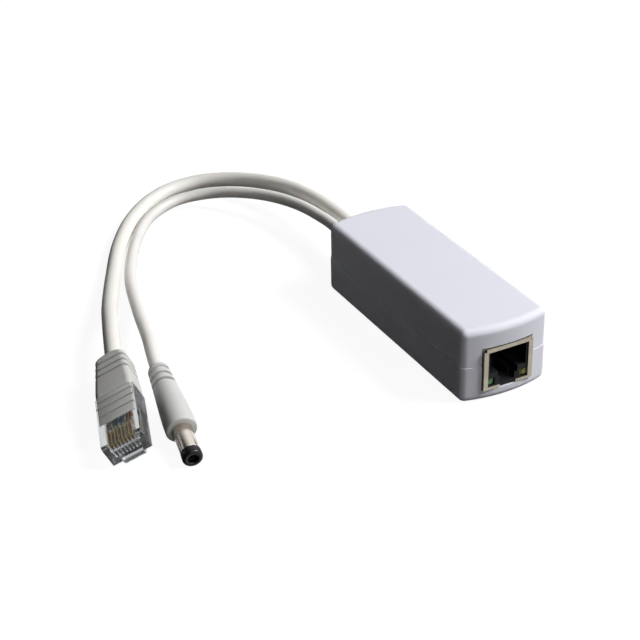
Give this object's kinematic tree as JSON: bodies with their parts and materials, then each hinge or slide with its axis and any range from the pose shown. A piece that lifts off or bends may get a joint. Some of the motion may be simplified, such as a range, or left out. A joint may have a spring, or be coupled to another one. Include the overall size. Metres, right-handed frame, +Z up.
{
  "type": "inline poe splitter",
  "caption": "Inline power-over-Ethernet splitter: bowed white two-part box with a shielded network socket, and two cords ending in a clear network plug and a round DC plug.",
  "frame": {"origin": "middle of the box underside, on the table", "axes": "+Z up; the network socket faces -Y and the cords leave the box at +Y; X is the box width"},
  "size_m": [0.1257, 0.1631, 0.023],
  "materials": {
    "white_plastic": "satin",
    "jack_metal": "satin",
    "black_plastic": "matte",
    "gold": "polished",
    "led_green": "frosted",
    "led_yellow": "frosted",
    "board": "satin",
    "ferrite": "matte",
    "tape": "satin",
    "sleeve_foil": "gloss",
    "chip_parts": "matte",
    "cord_jacket": "satin",
    "nylon": "satin",
    "wire_mix": "satin",
    "boot_pvc": "matte",
    "clear_plastic": "clear",
    "nickel": "polished"
  },
  "bodies": {
    "adapter": {"bottom_shell": "white_plastic", "top_shell": "white_plastic", "pcb": "board", "jack_body": "black_plastic", "jack_shield": "jack_metal", "jack_pins": "gold", "led_green": "led_green", "led_yellow": "led_yellow", "lan_magnetics": "black_plastic", "transformer_core": "ferrite", "transformer_coil": "tape", "input_capacitor": "sleeve_foil", "output_capacitors": "sleeve_foil", "bridge_rectifiers": "black_plastic", "control_chip": "black_plastic", "optocoupler": "black_plastic", "output_inductor": "ferrite", "small_parts": "chip_parts", "cord_grommet": "cord_jacket", "cord_tie": "nylon", "ethernet_wires": "wire_mix", "dc_wires": "wire_mix", "ethernet_cord": "cord_jacket", "dc_cord": "cord_jacket", "rj45_boot": "boot_pvc", "rj45_body": "clear_plastic", "rj45_contacts": "gold", "rj45_wires": "wire_mix", "dc_grip": "boot_pvc", "dc_barrel": "nickel", "dc_tip": "black_plastic", "dc_sleeve": "nickel"},
    "contact_springs": {"jack_contacts": "gold"},
    "plug_latch": {"rj45_latch": "clear_plastic"}
  },
  "joints": [
    {"name": "contact_spring", "type": "hinge", "parent": "adapter", "child": "contact_springs", "pos_m": [0, -0.0371, 0.01558], "axis": [1, 0, 0], "range_deg": [0, 8], "stiffness_Nm_per_rad": 0.02},
    {"name": "latch_press", "type": "hinge", "parent": "adapter", "child": "plug_latch", "pos_m": [-0.10291, -0.01902, 0.00219], "axis": [0.8493, -0.2951, 0.4378], "range_deg": [0, 9], "stiffness_Nm_per_rad": 0.05}
  ]
}
